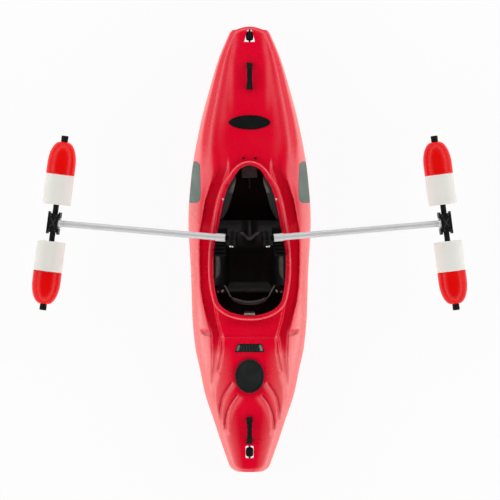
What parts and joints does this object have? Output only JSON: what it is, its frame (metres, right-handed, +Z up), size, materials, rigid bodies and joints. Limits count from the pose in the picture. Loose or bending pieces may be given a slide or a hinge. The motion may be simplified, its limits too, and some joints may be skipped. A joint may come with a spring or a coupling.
{
  "type": "kayak with outriggers",
  "caption": "Short whitewater kayak with a fitted cockpit, a stern hatch and deck handles, and on each side a tilting outrigger arm that carries spinning floats.",
  "frame": {"origin": "middle of the bounding box on the ground, under the flat bottom of the hull", "axes": "+Y towards the bow, +X to starboard, +Z up"},
  "size_m": [2.5442, 2.6, 0.4392],
  "materials": {
    "hull_plastic": "glossy rotomoulded plastic",
    "float_red": "glossy",
    "float_white": "glossy",
    "black_plastic": "fine grained",
    "black_rubber": "matte",
    "grey_rubber": "matte",
    "foam": "closed-cell foam and webbing",
    "aluminium": "brushed",
    "steel": "brushed"
  },
  "bodies": {
    "boat": {"hull_shell": "hull_plastic", "deck_shell": "hull_plastic", "bow_deck_pad": "black_rubber", "rear_deck_strip": "black_rubber", "bow_handle": "black_rubber", "stern_handle": "black_rubber", "bow_grab_toggle": "black_rubber", "stern_grab_toggle": "black_rubber", "bow_pillar": "foam", "stern_pillar": "foam", "seat_pan": "black_plastic", "backband": "foam", "side_patch_left": "grey_rubber", "hip_pad_left": "foam", "thigh_brace_left": "foam", "ratchet_buckle_left": "black_plastic", "foot_rail_left": "aluminium", "mount_saddle_left": "black_rubber", "arm_yoke_left": "black_plastic", "pivot_bolt_left": "steel", "side_patch_right": "grey_rubber", "hip_pad_right": "foam", "thigh_brace_right": "foam", "ratchet_buckle_right": "black_plastic", "foot_rail_right": "aluminium", "mount_saddle_right": "black_rubber", "arm_yoke_right": "black_plastic", "pivot_bolt_right": "steel"},
    "hatch": {"hatch_cover": "black_rubber"},
    "arm_left": {"arm_knuckle_left": "black_plastic", "arm_sleeve_left": "aluminium", "arm_tube_left": "aluminium", "arm_flange_left": "aluminium"},
    "hub_left": {"hub_body_left": "black_plastic", "hub_plate_left": "black_plastic", "axle_rod_left": "black_plastic", "rod_knob_front_left": "black_rubber", "rod_knob_rear_left": "black_rubber"},
    "lever_left": {"ratchet_lever_left": "steel"},
    "pedal_left": {"foot_pedal_left": "black_plastic"},
    "float_front_left": {"float_front_shell_left": "float_white", "float_front_nose_left": "float_red"},
    "float_rear_left": {"float_rear_shell_left": "float_white", "float_rear_nose_left": "float_red"},
    "arm_right": {"arm_knuckle_right": "black_plastic", "arm_sleeve_right": "aluminium", "arm_tube_right": "aluminium", "arm_flange_right": "aluminium"},
    "hub_right": {"hub_body_right": "black_plastic", "hub_plate_right": "black_plastic", "axle_rod_right": "black_plastic", "rod_knob_front_right": "black_rubber", "rod_knob_rear_right": "black_rubber"},
    "lever_right": {"ratchet_lever_right": "steel"},
    "pedal_right": {"foot_pedal_right": "black_plastic"},
    "float_front_right": {"float_front_shell_right": "float_white", "float_front_nose_right": "float_red"},
    "float_rear_right": {"float_rear_shell_right": "float_white", "float_rear_nose_right": "float_red"}
  },
  "joints": [
    {"name": "hatch_lift", "type": "slide", "parent": "boat", "child": "hatch", "axis": [0, -0.0537, 0.9986], "range_m": [0, 0.06]},
    {"name": "arm_tilt_left", "type": "hinge", "parent": "boat", "child": "arm_left", "pos_m": [-0.10232, 0.064, 0.40919], "axis": [0.0872, 0.9962, 0], "range_deg": [0, 75]},
    {"name": "hub_roll_left", "type": "hinge", "parent": "arm_left", "child": "hub_left", "pos_m": [-1.1428, 0.15503, 0.20617], "axis": [-0.9734, 0.1272, -0.1906], "range_deg": [-15, 15]},
    {"name": "float_spin_front_left", "type": "hinge", "parent": "hub_left", "child": "float_front_left", "pos_m": [-1.1428, 0.15503, 0.20617], "axis": [0.128, 0.9917, 0.008], "continuous": true},
    {"name": "float_spin_rear_left", "type": "hinge", "parent": "hub_left", "child": "float_rear_left", "pos_m": [-1.1428, 0.15503, 0.20617], "axis": [-0.128, -0.9917, -0.008], "continuous": true},
    {"name": "lever_open_left", "type": "hinge", "parent": "boat", "child": "lever_left", "pos_m": [-0.18094, -0.2222, 0.21], "axis": [-0.6683, -0.7439, 0], "range_deg": [0, 70]},
    {"name": "pedal_slide_left", "type": "slide", "parent": "boat", "child": "pedal_left", "axis": [0.2036, 0.979, 0], "range_m": [-0.1, 0.1]},
    {"name": "arm_tilt_right", "type": "hinge", "parent": "boat", "child": "arm_right", "pos_m": [0.10232, 0.064, 0.40919], "axis": [0.0872, -0.9962, 0], "range_deg": [0, 75]},
    {"name": "hub_roll_right", "type": "hinge", "parent": "arm_right", "child": "hub_right", "pos_m": [1.1428, 0.15503, 0.20617], "axis": [0.9734, 0.1272, -0.1906], "range_deg": [-15, 15]},
    {"name": "float_spin_front_right", "type": "hinge", "parent": "hub_right", "child": "float_front_right", "pos_m": [1.1428, 0.15503, 0.20617], "axis": [-0.128, 0.9917, 0.008], "continuous": true},
    {"name": "float_spin_rear_right", "type": "hinge", "parent": "hub_right", "child": "float_rear_right", "pos_m": [1.1428, 0.15503, 0.20617], "axis": [0.128, -0.9917, -0.008], "continuous": true},
    {"name": "lever_open_right", "type": "hinge", "parent": "boat", "child": "lever_right", "pos_m": [0.18094, -0.2222, 0.21], "axis": [-0.6683, 0.7439, 0], "range_deg": [0, 70]},
    {"name": "pedal_slide_right", "type": "slide", "parent": "boat", "child": "pedal_right", "axis": [-0.2036, 0.979, 0], "range_m": [-0.1, 0.1]}
  ]
}
